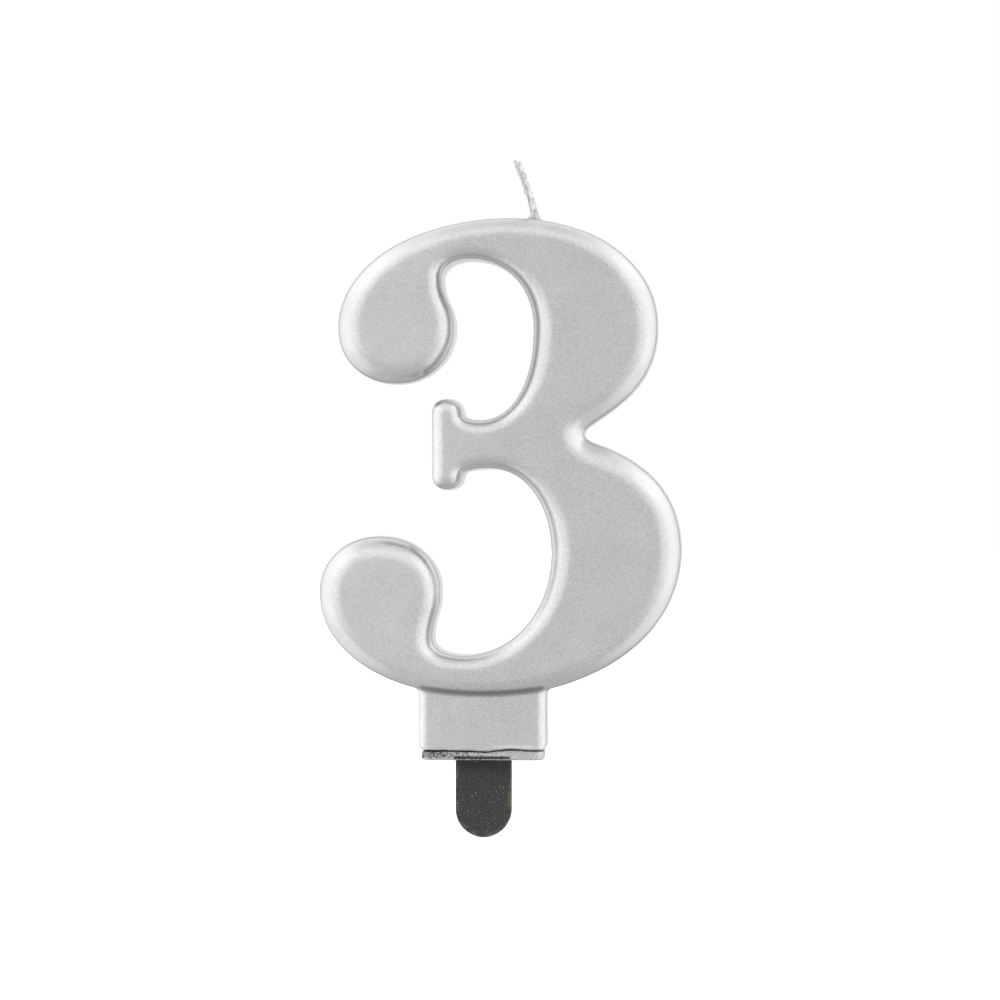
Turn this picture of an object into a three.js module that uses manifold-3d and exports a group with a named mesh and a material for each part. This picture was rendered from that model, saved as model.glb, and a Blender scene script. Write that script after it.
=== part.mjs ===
// A number birthday candle: a wax numeral "3" on a square block, its wick, and the plastic holder under it.
// Millimetres, +Z up. The digit faces -Y and +Y. The origin is on the spike's axis, on the underside of the
// holder's flange plate, which is where the top of the cake comes to.
import * as THREE from "three";
import { mergeVertices } from "three/addons/utils/BufferGeometryUtils.js";
import Module from "manifold-3d";

// ---------------------------------------------------------------------------------------------------------
// Driving dimensions
// ---------------------------------------------------------------------------------------------------------

// The holder, one plastic moulding.
const PLATE_WIDTH = 18.0;
const PLATE_DEPTH = 8.0;
const PLATE_THICKNESS = 1.2;
const PLATE_CORNER = 0.8;
const SPIKE_WIDTH = 8.2;
const SPIKE_LENGTH = 11.5;
const BLADE_THICKNESS = 1.8;
const STEM_WIDTH = 5.0;
const STEM_LENGTH = 3.6; // from the plate's top to the anchor head
const ANCHOR_WIDTH = 8.0;
const ANCHOR_HEIGHT = 2.4;

// The block that the numeral stands on.
const BLOCK_WIDTH = 18.9;
const BLOCK_HEIGHT = 8.2; // from its underside to the lowest point of the digit
const BLOCK_DEPTH = 8.8;
const BLOCK_EDGE = 1.0;
const BLOCK_TOE = 0.45; // how far the block draws in at its lower corners
const BLOCK_BURIAL = 2.6; // how far the block runs up into the digit

// The digit, front to back, and the rounded rim round its faces.
const DIGIT_DEPTH = 12.0;
const RIM_WIDTH = 2.4;
const RIM_DEPTH = 3.8;

// The lower lobe, with heights from the digit's lowest point and reaches from the spike's axis.
const LOWER_HEIGHT = 38.1; // to the waist
const LOWER_REACH = 29.3;
const LOWER_WIDEST = 21.3;
const LOWER_STROKE = 19.0;
const FOOT_STROKE = 5.5;
const LOWER_BALL_REACH = 24.3;
const LOWER_BALL_WIDTH = 18.0;
const LOWER_BALL_HALF_HEIGHT = 8.2;
const LOWER_BALL_RISE = 15.2;
const LOWER_NECK_REACH = 7.5;
const LOWER_NECK_RISE = 2.6; // from the counter's floor to the neck's tightest point
const LOWER_FLOOR_REACH = 2.3;
const LOWER_CEILING_REACH = 0.5;

// The upper lobe, with drops from the digit's highest point.
const UPPER_HEIGHT = 32.2; // from the waist to the top
const UPPER_REACH = 25.9;
const UPPER_WIDEST = 16.2;
const UPPER_STROKE = 18.55;
const TOP_STROKE = 5.8;
const TOP_REACH = 4.2;
const UPPER_BALL_REACH = 21.5;
const UPPER_BALL_WIDTH = 17.4;
const UPPER_BALL_HALF_HEIGHT = 8.4;
const UPPER_BALL_DROP = 16.2;
const UPPER_NECK_REACH = 6.1;
const UPPER_NECK_DROP = 2.9; // from the counter's ceiling to the neck's tightest point
const UPPER_CEILING_REACH = 2.0;
const UPPER_FLOOR_REACH = 1.0;

// The waist between the lobes, and the arm that reaches left from it to the slab serif.
const WAIST_REACH = 13.8; // to the corner that the two lobes' edges would meet in
const WAIST_UPPER_SLOPE = 34; // degrees
const WAIST_LOWER_SLOPE = 19.6;
const WAIST_FILLET = 2.8; // how far along each edge that corner is rounded off
const ARM_RISE = 2.05; // from the waist to the arm's upper edge
const ARM_HEIGHT = 6.6;
const SERIF_REACH = 7.6;
const SERIF_WIDTH = 4.7;
const SERIF_HEIGHT = 13.5;
const SERIF_DROP = 1.2; // from the waist to the serif's middle
const SERIF_SETBACK = 0.15; // how far its faces lie behind the digit's
const SERIF_RIM = 1.7;

// The wick, and the clearance round every piece that the wax is cast about.
const WICK_DIAMETER = 1.0;
const WICK_ROOT_REACH = 7.5;
const WICK_RISE = 1.2; // upright stretch above the wax
const WICK_LEAN = 18.5; // degrees to the left, above the upright stretch
const WICK_LEANING_LENGTH = 7.8;
const WICK_TAIL = 4.0; // how far the hidden end runs below the lower bowl's widest point
const CLEARANCE = 0.3;

// Facets.
const CURVE_FACETS = 10;
const RIM_FACETS = 3;
const WICK_SIDES = 8;
const WICK_STEPS = 36;

// ---------------------------------------------------------------------------------------------------------
// Places worked out from the driving dimensions
// ---------------------------------------------------------------------------------------------------------

const blockBottom = PLATE_THICKNESS + CLEARANCE;
const footZ = blockBottom + BLOCK_HEIGHT;
const waistZ = footZ + LOWER_HEIGHT;
const topZ = waistZ + UPPER_HEIGHT;

const lower = {
  rightX: LOWER_REACH,
  rightZ: footZ + LOWER_WIDEST,
  counterX: LOWER_REACH - LOWER_STROKE,
  floorZ: footZ + FOOT_STROKE,
  ceilingZ: waistZ + ARM_RISE - ARM_HEIGHT,
  ballLeftX: -LOWER_BALL_REACH,
  ballRightX: LOWER_BALL_WIDTH - LOWER_BALL_REACH,
  ballX: LOWER_BALL_WIDTH / 2 - LOWER_BALL_REACH,
  ballZ: footZ + LOWER_BALL_RISE,
};

const upper = {
  rightX: UPPER_REACH,
  rightZ: topZ - UPPER_WIDEST,
  counterX: UPPER_REACH - UPPER_STROKE,
  floorZ: waistZ + ARM_RISE,
  ceilingZ: topZ - TOP_STROKE,
  ballLeftX: -UPPER_BALL_REACH,
  ballRightX: UPPER_BALL_WIDTH - UPPER_BALL_REACH,
  ballX: UPPER_BALL_WIDTH / 2 - UPPER_BALL_REACH,
  ballZ: topZ - UPPER_BALL_DROP,
};

// A rim is never wider than the thinnest stroke has room for.
const thinnestStroke = Math.min(FOOT_STROKE, TOP_STROKE, ARM_HEIGHT);
const rimWidth = Math.min(RIM_WIDTH, 0.44 * thinnestStroke);
const serifRim = Math.min(SERIF_RIM, 0.42 * SERIF_WIDTH);

// ---------------------------------------------------------------------------------------------------------
// Helpers
// ---------------------------------------------------------------------------------------------------------

const wasm = await Module();
wasm.setup();

// A closed three.js geometry as a solid that can be joined and cut.
function solidOf(geometry) {
  const bare = geometry.clone();
  bare.deleteAttribute("normal");
  bare.deleteAttribute("uv");
  const merged = mergeVertices(bare, 1e-4);
  const vertProperties = new Float32Array(merged.attributes.position.array);
  const triVerts = new Uint32Array(merged.index.array);
  return new wasm.Manifold(new wasm.Mesh({ numProp: 3, vertProperties, triVerts }));
}

function geometryOf(solid) {
  const { vertProperties, triVerts } = solid.getMesh();
  const geometry = new THREE.BufferGeometry();
  geometry.setAttribute("position", new THREE.BufferAttribute(new Float32Array(vertProperties), 3));
  geometry.setIndex(new THREE.BufferAttribute(new Uint32Array(triVerts), 1));
  geometry.computeVertexNormals();
  return geometry;
}

// A shape drawn in x and z becomes a slab of the given depth, centred on y = 0, with rounded rims.
function slab(shape, depth, rim, rimDepth) {
  const rounding = {
    bevelEnabled: rim > 0,
    bevelSize: rim,
    bevelOffset: -rim,
    bevelThickness: rimDepth,
    bevelSegments: RIM_FACETS,
  };
  const straight = depth - 2 * rimDepth;
  const geometry = new THREE.ExtrudeGeometry(shape, { depth: straight, curveSegments: CURVE_FACETS, ...rounding });
  geometry.translate(0, 0, -straight / 2);
  geometry.rotateX(Math.PI / 2);
  return geometry;
}

// A quarter turn from the outline's last point, setting off either level or upright. Its handles are a little
// longer than an ellipse's 0.552, which makes the bowls a touch fuller than an ellipse.
const QUARTER_HANDLE = 0.57;

function quarter(outline, x, z, setsOff) {
  const { x: fromX, y: fromZ } = outline.currentPoint;
  const reachX = QUARTER_HANDLE * (x - fromX);
  const reachZ = QUARTER_HANDLE * (z - fromZ);
  if (setsOff === "level") {
    outline.bezierCurveTo(fromX + reachX, fromZ, x, z - reachZ, x, z);
  } else {
    outline.bezierCurveTo(fromX, fromZ + reachZ, x - reachX, z, x, z);
  }
}

// A bend that is upright at both of its ends.
function neck(outline, x, z) {
  const { x: fromX, y: fromZ } = outline.currentPoint;
  const middleZ = (fromZ + z) / 2;
  outline.bezierCurveTo(fromX, middleZ, x, middleZ, x, z);
}

// A point so far from the waist's corner along an edge that climbs at the given slope.
function fromWaist(distance, slope) {
  const angle = THREE.MathUtils.degToRad(slope);
  return [WAIST_REACH + distance * Math.cos(angle), waistZ + distance * Math.sin(angle)];
}

// ---------------------------------------------------------------------------------------------------------
// The wax numeral
// ---------------------------------------------------------------------------------------------------------

// The outer side of the digit, clockwise from its highest point to the top of the lower ball.
function drawOuterSide(outline) {
  const upperRun = 0.64 * (upper.rightX - WAIST_REACH);
  const lowerRun = 0.55 * (lower.rightX - WAIST_REACH);
  outline.moveTo(TOP_REACH, topZ);
  quarter(outline, upper.rightX, upper.rightZ, "level");
  outline.bezierCurveTo(
    upper.rightX, upper.rightZ - 0.5 * (upper.rightZ - waistZ),
    ...fromWaist(upperRun, WAIST_UPPER_SLOPE),
    ...fromWaist(WAIST_FILLET, WAIST_UPPER_SLOPE),
  );
  outline.quadraticCurveTo(WAIST_REACH, waistZ, ...fromWaist(WAIST_FILLET, -WAIST_LOWER_SLOPE));
  outline.bezierCurveTo(
    ...fromWaist(lowerRun, -WAIST_LOWER_SLOPE),
    lower.rightX, lower.rightZ + 0.57 * (waistZ - lower.rightZ),
    lower.rightX, lower.rightZ,
  );
  quarter(outline, 0, footZ, "upright");
  quarter(outline, lower.ballLeftX, lower.ballZ, "level");
  quarter(outline, lower.ballX, lower.ballZ + LOWER_BALL_HALF_HEIGHT, "upright");
}

// The lower counter, from the top of the lower ball round to the arm.
function drawLowerCounter(outline) {
  quarter(outline, lower.ballRightX, lower.ballZ, "level");
  neck(outline, -LOWER_NECK_REACH, lower.floorZ + LOWER_NECK_RISE);
  quarter(outline, -LOWER_FLOOR_REACH, lower.floorZ, "upright");
  quarter(outline, lower.counterX, lower.rightZ, "level");
  quarter(outline, LOWER_CEILING_REACH, lower.ceilingZ, "upright");
}

// The upper counter, from the arm round to the bottom of the upper ball.
function drawUpperCounter(outline) {
  outline.lineTo(-UPPER_FLOOR_REACH, upper.floorZ);
  quarter(outline, upper.counterX, upper.rightZ, "level");
  quarter(outline, -UPPER_CEILING_REACH, upper.ceilingZ, "upright");
  quarter(outline, -UPPER_NECK_REACH, upper.ceilingZ - UPPER_NECK_DROP, "level");
  neck(outline, upper.ballRightX, upper.ballZ);
  quarter(outline, upper.ballX, upper.ballZ - UPPER_BALL_HALF_HEIGHT, "upright");
}

function digitStroke() {
  const armEnd = SERIF_WIDTH / 2 - SERIF_REACH;
  const outline = new THREE.Shape();
  drawOuterSide(outline);
  drawLowerCounter(outline);
  outline.lineTo(armEnd, lower.ceilingZ);
  outline.lineTo(armEnd, upper.floorZ);
  drawUpperCounter(outline);
  quarter(outline, upper.ballLeftX, upper.ballZ, "level");
  quarter(outline, TOP_REACH, topZ, "upright");
  return slab(outline, DIGIT_DEPTH, rimWidth, RIM_DEPTH);
}

// The slab serif, with the fillets that spread it into the arm and a tail that lies inside the arm.
function serif() {
  const end = SERIF_WIDTH / 2;
  const left = -SERIF_REACH;
  const middle = left + end;
  const right = left + SERIF_WIDTH;
  const tailX = LOWER_CEILING_REACH + SERIF_WIDTH;
  const lowZ = waistZ - SERIF_DROP - SERIF_HEIGHT / 2;
  const highZ = lowZ + SERIF_HEIGHT;
  const outline = new THREE.Shape();
  outline.moveTo(left, lowZ + end);
  outline.lineTo(left, highZ - end);
  quarter(outline, middle, highZ, "upright");
  quarter(outline, right, highZ - end, "level");
  quarter(outline, -UPPER_FLOOR_REACH, upper.floorZ, "upright");
  outline.lineTo(tailX, upper.floorZ);
  outline.lineTo(tailX, lower.ceilingZ);
  outline.lineTo(LOWER_CEILING_REACH, lower.ceilingZ);
  quarter(outline, right, lowZ + end, "level");
  quarter(outline, middle, lowZ, "upright");
  quarter(outline, left, lowZ + end, "level");
  return slab(outline, DIGIT_DEPTH - 2 * SERIF_SETBACK, serifRim, RIM_DEPTH);
}

// The block, which runs up into the foot of the digit.
function block() {
  const half = BLOCK_WIDTH / 2;
  const toe = half - BLOCK_TOE;
  const outline = new THREE.Shape();
  outline.moveTo(-toe, blockBottom);
  outline.lineTo(toe, blockBottom);
  outline.lineTo(half, blockBottom + 2 * BLOCK_TOE);
  outline.lineTo(half, footZ + BLOCK_BURIAL);
  outline.lineTo(-half, footZ + BLOCK_BURIAL);
  outline.lineTo(-half, blockBottom + 2 * BLOCK_TOE);
  outline.closePath();
  return slab(outline, BLOCK_DEPTH, BLOCK_EDGE, BLOCK_EDGE);
}

function waxNumeral() {
  const casting = solidOf(digitStroke()).add(solidOf(serif())).add(solidOf(block()));
  const pocket = solidOf(blade(CLEARANCE));
  const channel = solidOf(wickTube(WICK_DIAMETER / 2 + CLEARANCE, CLEARANCE));
  return geometryOf(casting.subtract(pocket).subtract(channel));
}

// ---------------------------------------------------------------------------------------------------------
// The holder
// ---------------------------------------------------------------------------------------------------------

// The flat blade: spike, stem and T-shaped anchor head in one outline. Grown by the clearance, it is the pocket
// in the wax, which closes over the head's shoulders.
function blade(grow) {
  const spike = SPIKE_WIDTH / 2 + grow;
  const stem = STEM_WIDTH / 2 + grow;
  const anchor = ANCHOR_WIDTH / 2 + grow;
  const anchorZ = PLATE_THICKNESS + STEM_LENGTH - grow;
  const anchorTopZ = PLATE_THICKNESS + STEM_LENGTH + ANCHOR_HEIGHT + grow;
  const plateMiddleZ = PLATE_THICKNESS / 2;
  const roundZ = SPIKE_WIDTH / 2 - SPIKE_LENGTH;
  const outline = new THREE.Shape();
  outline.moveTo(spike, plateMiddleZ);
  outline.lineTo(stem, plateMiddleZ);
  outline.lineTo(stem, anchorZ);
  outline.lineTo(anchor, anchorZ);
  outline.lineTo(anchor, anchorTopZ);
  outline.lineTo(-anchor, anchorTopZ);
  outline.lineTo(-anchor, anchorZ);
  outline.lineTo(-stem, anchorZ);
  outline.lineTo(-stem, plateMiddleZ);
  outline.lineTo(-spike, plateMiddleZ);
  outline.lineTo(-spike, roundZ);
  outline.absarc(0, roundZ, spike, Math.PI, 2 * Math.PI, false);
  outline.closePath();
  return slab(outline, BLADE_THICKNESS + 2 * grow, 0, 0);
}

function flangePlate() {
  const halfX = PLATE_WIDTH / 2;
  const halfY = PLATE_DEPTH / 2;
  const outline = new THREE.Shape();
  outline.moveTo(PLATE_CORNER - halfX, -halfY);
  outline.absarc(halfX - PLATE_CORNER, PLATE_CORNER - halfY, PLATE_CORNER, -Math.PI / 2, 0, false);
  outline.absarc(halfX - PLATE_CORNER, halfY - PLATE_CORNER, PLATE_CORNER, 0, Math.PI / 2, false);
  outline.absarc(PLATE_CORNER - halfX, halfY - PLATE_CORNER, PLATE_CORNER, Math.PI / 2, Math.PI, false);
  outline.absarc(PLATE_CORNER - halfX, PLATE_CORNER - halfY, PLATE_CORNER, Math.PI, 1.5 * Math.PI, false);
  return new THREE.ExtrudeGeometry(outline, { depth: PLATE_THICKNESS, bevelEnabled: false, curveSegments: 4 });
}

function holder() {
  return geometryOf(solidOf(flangePlate()).add(solidOf(blade(0))));
}

// ---------------------------------------------------------------------------------------------------------
// The wick
// ---------------------------------------------------------------------------------------------------------

// Height of the digit's outer top edge at a reach to the right of its highest point.
function topEdgeZ(x) {
  const share = (x - TOP_REACH) / (upper.rightX - TOP_REACH);
  return upper.rightZ + UPPER_WIDEST * Math.sqrt(1 - share * share);
}

// The wick's middle line, from its hidden end up the middle of the stroke and out of the top. Spare length at
// the hidden end leaves the channel a little longer than the wick.
function wickRoute(spare) {
  const lean = THREE.MathUtils.degToRad(WICK_LEAN);
  const rootZ = topEdgeZ(WICK_ROOT_REACH);
  const bendZ = rootZ + WICK_RISE;
  const lowerMiddleX = (lower.rightX + lower.counterX) / 2;
  const upperMiddleX = (upper.rightX + upper.counterX) / 2;
  const waistMiddleX = 0.62 * WAIST_REACH;
  return new THREE.CatmullRomCurve3([
    new THREE.Vector3(lowerMiddleX, 0, lower.rightZ - WICK_TAIL - spare),
    new THREE.Vector3(lowerMiddleX, 0, lower.rightZ),
    new THREE.Vector3(waistMiddleX, 0, waistZ - SERIF_DROP),
    new THREE.Vector3(upperMiddleX, 0, upper.rightZ),
    new THREE.Vector3(WICK_ROOT_REACH, 0, (upper.ceilingZ + rootZ) / 2),
    new THREE.Vector3(WICK_ROOT_REACH, 0, rootZ),
    new THREE.Vector3(WICK_ROOT_REACH, 0, bendZ),
    new THREE.Vector3(
      WICK_ROOT_REACH - WICK_LEANING_LENGTH * Math.sin(lean), 0, bendZ + WICK_LEANING_LENGTH * Math.cos(lean),
    ),
  ], false, "centripetal");
}

// A tube of flat sides that are nowhere nearer to its middle line than the radius.
function wickTube(radius, spare) {
  const section = new THREE.Shape();
  section.absarc(0, 0, radius / Math.cos(Math.PI / WICK_SIDES), 0, 2 * Math.PI, false);
  return new THREE.ExtrudeGeometry(section, {
    steps: WICK_STEPS,
    curveSegments: WICK_SIDES / 2,
    extrudePath: wickRoute(spare),
  });
}

// ---------------------------------------------------------------------------------------------------------
// The candle
// ---------------------------------------------------------------------------------------------------------

const silverLacquer = new THREE.MeshStandardMaterial({ color: "#c6c6c8", roughness: 0.38, metalness: 0.75 });
const silveredCotton = new THREE.MeshStandardMaterial({ color: "#d0d0d0", roughness: 0.7, metalness: 0.3 });
const blackPlastic = new THREE.MeshStandardMaterial({ color: "#2c2c2b", roughness: 0.5, metalness: 0 });

function piece(name, geometry, material) {
  const mesh = new THREE.Mesh(geometry, material);
  mesh.name = name;
  return mesh;
}

const candle = new THREE.Group();
candle.add(piece("wax_numeral", waxNumeral(), silverLacquer));
candle.add(piece("wick", wickTube(WICK_DIAMETER / 2, 0), silveredCotton));
candle.add(piece("holder", holder(), blackPlastic));

export default candle;
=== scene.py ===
# %% [markdown]
# # A number birthday candle
#
# The candle is three things: a wax "3" cast together with the square block under it and sprayed silver, a
# short silvered wick, and a black plastic holder whose flat spike goes into the cake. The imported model
# gives their sizes and places. Each of them is made again here with the roundings, the creases and the
# finish that it has in the hand. Lengths are written in millimetres and multiplied by MM, because Blender
# works in metres.

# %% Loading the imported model
import math

import bpy
import numpy as np
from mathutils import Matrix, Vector, noise


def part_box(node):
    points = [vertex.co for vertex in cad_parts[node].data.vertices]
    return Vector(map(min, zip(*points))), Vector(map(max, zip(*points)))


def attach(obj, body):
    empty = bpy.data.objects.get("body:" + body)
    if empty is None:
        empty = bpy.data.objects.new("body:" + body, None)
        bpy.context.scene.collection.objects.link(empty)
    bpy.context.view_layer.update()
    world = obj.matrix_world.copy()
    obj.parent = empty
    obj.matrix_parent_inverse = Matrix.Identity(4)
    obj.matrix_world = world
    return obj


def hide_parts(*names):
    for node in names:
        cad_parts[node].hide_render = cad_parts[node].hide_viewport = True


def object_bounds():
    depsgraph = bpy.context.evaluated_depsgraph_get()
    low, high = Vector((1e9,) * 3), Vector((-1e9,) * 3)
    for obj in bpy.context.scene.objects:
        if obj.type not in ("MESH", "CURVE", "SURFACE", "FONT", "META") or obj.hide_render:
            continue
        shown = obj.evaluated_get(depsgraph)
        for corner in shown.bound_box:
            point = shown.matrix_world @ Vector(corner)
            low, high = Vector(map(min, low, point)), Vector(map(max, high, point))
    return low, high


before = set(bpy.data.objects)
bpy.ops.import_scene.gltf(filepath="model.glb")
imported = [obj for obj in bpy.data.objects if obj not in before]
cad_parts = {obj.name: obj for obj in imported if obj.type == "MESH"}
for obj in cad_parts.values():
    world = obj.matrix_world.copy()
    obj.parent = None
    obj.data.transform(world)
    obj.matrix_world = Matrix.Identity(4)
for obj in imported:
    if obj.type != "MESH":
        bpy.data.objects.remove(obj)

MM = 0.001
cad_low, cad_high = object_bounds()
wax_low, wax_high = (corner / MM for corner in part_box("wax_numeral"))
holder_low, holder_high = (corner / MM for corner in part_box("holder"))
wick_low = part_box("wick")[0] / MM
print("whole candle, mm:", [round(side / MM, 1) for side in cad_high - cad_low])

# %% [markdown]
# ## Camera, floor and light
#
# The candle is seen square on, from a little to its right, through a long lens. It stands on a pale floor
# in a light tent. A tent could be built from large lamps, but a world gives the same even reflections
# with less noise. It is bright to the left and right and straight behind, softer above, and dimmer below
# and in front. A darker band, the gap between the tent's walls, parts the sides from the back. Two broad
# lamps at the sides add the direct light. What the camera sees of the world is plain white.

# %% Camera
CAMERA_TURN = math.radians(4.0)
CAMERA_DISTANCE = 520 * MM
CAMERA_TARGET = Vector((2.4, 0, 38.4)) * MM
FRAME_WIDTH = 148.15 * MM
SENSOR_WIDTH = 36

bpy.ops.object.select_all(action="DESELECT")
bpy.ops.object.camera_add()
camera = bpy.context.object
camera.data.sensor_width = SENSOR_WIDTH
camera.data.lens = SENSOR_WIDTH * CAMERA_DISTANCE / FRAME_WIDTH
camera.data.clip_start = 0.05
camera.data.clip_end = 20
step_back = Vector((math.sin(CAMERA_TURN), -math.cos(CAMERA_TURN), 0))
camera.location = CAMERA_TARGET + step_back * CAMERA_DISTANCE
camera.rotation_euler = (math.pi / 2, 0, CAMERA_TURN)
bpy.context.scene.camera = camera
bpy.context.scene.view_settings.view_transform = "Standard"
print("lens, mm:", round(camera.data.lens, 1))


# %% Shader nodes written as sums
class Wire:
    """One output of a node. Working with wires and numbers adds the Math nodes."""

    def __init__(self, mix, socket):
        self.mix = mix
        self.socket = socket

    def math(self, operation, *values):
        inputs = dict(enumerate(values))
        return self.mix.node("ShaderNodeMath", {"operation": operation}, inputs)

    def __add__(self, other):
        return self.math("ADD", self, other)

    def __radd__(self, other):
        return self.math("ADD", other, self)

    def __sub__(self, other):
        return self.math("SUBTRACT", self, other)

    def __rsub__(self, other):
        return self.math("SUBTRACT", other, self)

    def __mul__(self, other):
        return self.math("MULTIPLY", self, other)

    def __rmul__(self, other):
        return self.math("MULTIPLY", other, self)

    def __abs__(self):
        return self.math("ABSOLUTE", self)


class Mix:
    """The node tree of one finish, or of the world."""

    def __init__(self, tree):
        self.tree = tree

    def node(self, kind, settings=None, inputs=None, output=0):
        """Makes any node: its settings first, then the values or wires of its sockets."""
        made = self.tree.nodes.new(kind)
        for name, value in (settings or {}).items():
            setattr(made, name, value)
        for name, value in (inputs or {}).items():
            if isinstance(value, Wire):
                self.tree.links.new(value.socket, made.inputs[name])
            else:
                made.inputs[name].default_value = value
        return Wire(self, made.outputs[output])

    def ease(self, value, start, end, low=0.0, high=1.0):
        """Goes softly from low to high while the value goes from start to end."""
        inputs = {"Value": value, "From Min": start, "From Max": end, "To Min": low, "To Max": high}
        return self.node("ShaderNodeMapRange", {"interpolation_type": "SMOOTHSTEP"}, inputs)

    def blend(self, factor, first, second):
        """One colour to another."""
        inputs = {0: factor, 6: first, 7: second}
        return self.node("ShaderNodeMix", {"data_type": "RGBA"}, inputs, 2)

    def along(self, vector, axis):
        """One number of a vector: axis 0, 1 or 2 for x, y or z."""
        return self.node("ShaderNodeSeparateXYZ", None, {0: vector}, axis)

    def clouds(self, place, scale, detail, roughness=0.5):
        """Soft noise, a number about 0.5."""
        inputs = {"Vector": place, "Scale": scale, "Detail": detail, "Roughness": roughness}
        return self.node("ShaderNodeTexNoise", None, inputs)

    def bump(self, strength, distance, height):
        """A surface tilted as if it had this relief."""
        inputs = {"Strength": strength, "Distance": distance, "Height": height}
        return self.node("ShaderNodeBump", None, inputs)


# %% The light tent
TENT_SIDE = 1.34
TENT_FRONT = 0.83
TENT_BEHIND = 1.35
TENT_ABOVE = 1.00
TENT_STRIP = 0.26
TENT_BELOW = 0.70
TENT_GAP = 0.56

world = bpy.data.worlds.new("light_tent")
bpy.context.scene.world = world
world.use_nodes = True
tent = Mix(world.node_tree)
background = world.node_tree.nodes["Background"]
direction = tent.node("ShaderNodeTexCoord", output=0)
along_x = tent.along(direction, 0)
along_y = tent.along(direction, 1)
along_z = tent.along(direction, 2)
low_in_front = tent.ease(-1 * along_y, 0.40, 0.60) * tent.ease(-1 * along_z, 0.18, 0.40)
to_the_side = tent.ease(abs(along_x), 0.34, 0.70) * (1 - low_in_front * 0.8)
behind = tent.ease(along_y, 0.91, 0.97)
gap = tent.ease(along_y, 0.72, 0.84) * (1 - behind)
above = tent.ease(along_z, 0.25, 0.85)
strip = tent.ease(along_z, 0.22, 0.55) * (1 - tent.ease(along_z, 0.78, 0.97))
below = tent.ease(-1 * along_z, 0.25, 0.85)
level = TENT_FRONT + to_the_side * (TENT_SIDE - TENT_FRONT)
level = level + behind * (TENT_BEHIND - TENT_FRONT) + strip * TENT_STRIP
level = level + above * (TENT_ABOVE - TENT_FRONT) + below * (TENT_BELOW - TENT_FRONT)
level = level * (1 - gap * TENT_GAP)
seen_directly = tent.node("ShaderNodeLightPath")
brightness = level * (1 - seen_directly) + seen_directly
background.inputs["Color"].default_value = (1, 1, 1, 1)
world.node_tree.links.new(brightness.socket, background.inputs["Strength"])

# %% Side lamps
LAMP_SIDE = 0.5
LAMP_DISTANCE = 0.6
LAMP_RADIANCE = 0.25


def side_lamp(name, side):
    bpy.ops.object.light_add(type="AREA", location=(side * LAMP_DISTANCE, 0, CAMERA_TARGET.z))
    lamp = bpy.context.object
    lamp.name = name
    lamp.rotation_euler = (0, side * math.pi / 2, 0)
    lamp.data.shape = "SQUARE"
    lamp.data.size = LAMP_SIDE
    lamp.data.energy = LAMP_RADIANCE * math.pi * LAMP_SIDE**2
    return lamp


side_lamp("left_lamp", -1)
side_lamp("right_lamp", 1)

# %% Floor
FLOOR_GAP = 0.05 * MM

bpy.ops.mesh.primitive_plane_add(size=6, location=(0, 0, cad_low.z - FLOOR_GAP))
floor = bpy.context.object
floor.name = "floor"
floor_paint = bpy.data.materials.new("pale_floor")
floor_paint.use_nodes = True
floor_shader = floor_paint.node_tree.nodes["Principled BSDF"]
floor_shader.inputs["Base Color"].default_value = (0.8, 0.8, 0.8, 1)
floor_shader.inputs["Roughness"].default_value = 0.9
floor_shader.inputs["Emission Color"].default_value = (1, 1, 1, 1)
floor_shader.inputs["Emission Strength"].default_value = 0.6
floor.data.materials.append(floor_paint)
floor.visible_glossy = False
floor.visible_diffuse = False


# %% [markdown]
# ## Drawing the digit
#
# The digit is a flat-faced slab whose outline is all sweeping curves, so it is drawn first, with a pen
# that lays bezier knots. Each stretch is a quarter of an oval, a shallow S or a straight line. Every knot
# also carries the width of the rounded rim there, because the rim is broad round the outside and narrow
# inside the counters.

# %% The pen
FULLNESS = 0.57  # an oval's own value is 0.552; a little more makes the bowls fuller


class Pen:
    """Draws a closed outline in x and z, in millimetres."""

    def __init__(self, x, z, rim):
        self.knots = [{"at": (x, z), "rim": rim}]

    def bend(self, leave, arrive, x, z, rim):
        self.knots[-1]["leave"] = leave
        self.knots.append({"at": (x, z), "arrive": arrive, "rim": rim})

    def line(self, x, z, rim):
        from_x, from_z = self.knots[-1]["at"]
        leave = (from_x + (x - from_x) / 3, from_z + (z - from_z) / 3)
        arrive = (x - (x - from_x) / 3, z - (z - from_z) / 3)
        self.bend(leave, arrive, x, z, rim)

    def level_quarter(self, x, z, rim, fullness=FULLNESS):
        from_x, from_z = self.knots[-1]["at"]
        leave = (from_x + fullness * (x - from_x), from_z)
        arrive = (x, z - fullness * (z - from_z))
        self.bend(leave, arrive, x, z, rim)

    def upright_quarter(self, x, z, rim, fullness=FULLNESS):
        from_x, from_z = self.knots[-1]["at"]
        leave = (from_x, from_z + fullness * (z - from_z))
        arrive = (x - fullness * (x - from_x), z)
        self.bend(leave, arrive, x, z, rim)

    def neck(self, x, z, rim):
        from_x, from_z = self.knots[-1]["at"]
        middle_z = (from_z + z) / 2
        self.bend((from_x, middle_z), (x, middle_z), x, z, rim)

    def close(self):
        self.knots[0]["arrive"] = self.knots.pop()["arrive"]
        return self.knots


# %% Heights and reaches of the digit
BLOCK_HEIGHT = 8.2
FOOT_OVERLAP = 0.35
LOWER_HEIGHT = 38.1
LOWER_MIDDLE = 21.3
LOWER_BALL_MIDDLE = 15.2
LOWER_BALL_WIDTH = 18.2
LOWER_STROKE = 19.2
UPPER_MIDDLE = 16.2
UPPER_BALL_WIDTH = 17.4
UPPER_STROKE = 18.4
UPPER_INSET = 3.4
CREST_X = 4.2
ARM_RISE = 2.05
ARM_THICKNESS = 6.6

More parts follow.
